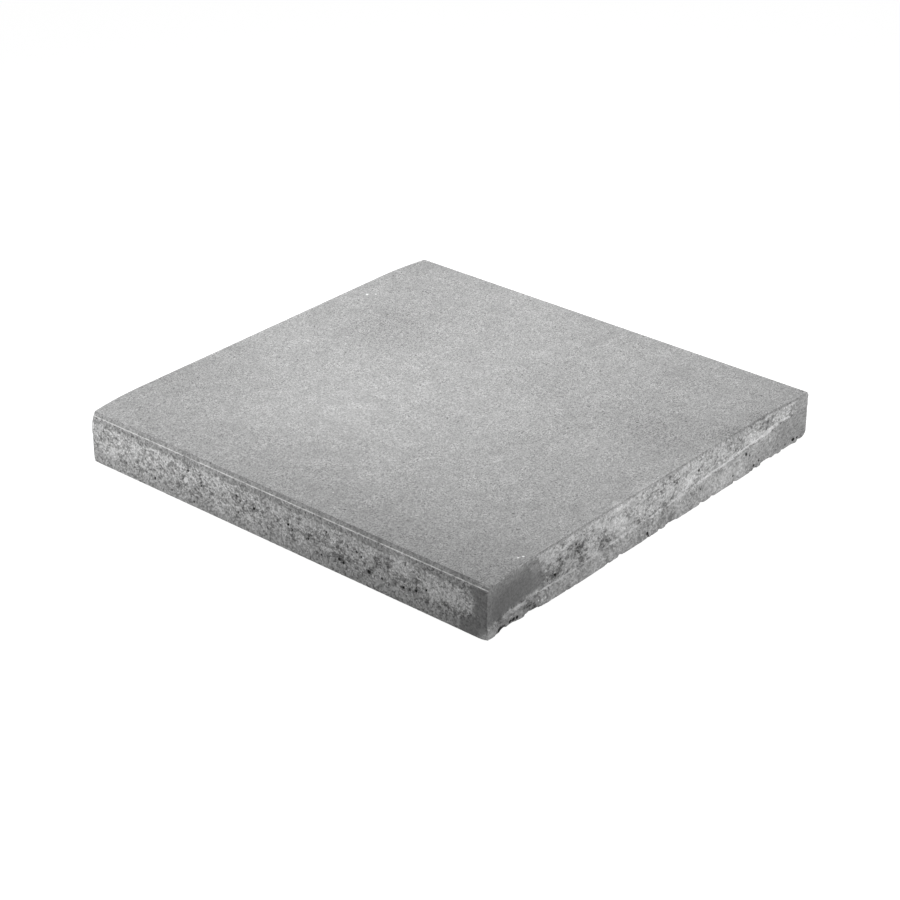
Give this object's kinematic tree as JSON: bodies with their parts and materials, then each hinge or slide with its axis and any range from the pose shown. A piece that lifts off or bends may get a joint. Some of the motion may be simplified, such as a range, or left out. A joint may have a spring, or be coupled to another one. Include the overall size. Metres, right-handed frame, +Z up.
{
  "type": "pillar cap",
  "caption": "Flat square concrete cap slab for a pier, with two moulded sides and two split sides.",
  "frame": {"origin": "middle of the bed face, the flat underside that lies on the pier, midway between the moulded faces and midway between the corners of the split faces", "axes": "+X from the rear split face to the front split face, +Y from one moulded face to the other, +Z up out of the top face"},
  "size_m": [0.4672, 0.445, 0.05],
  "materials": {
    "concrete": "matte"
  },
  "bodies": {
    "root": {"cap_slab": "concrete"}
  },
  "joints": []
}
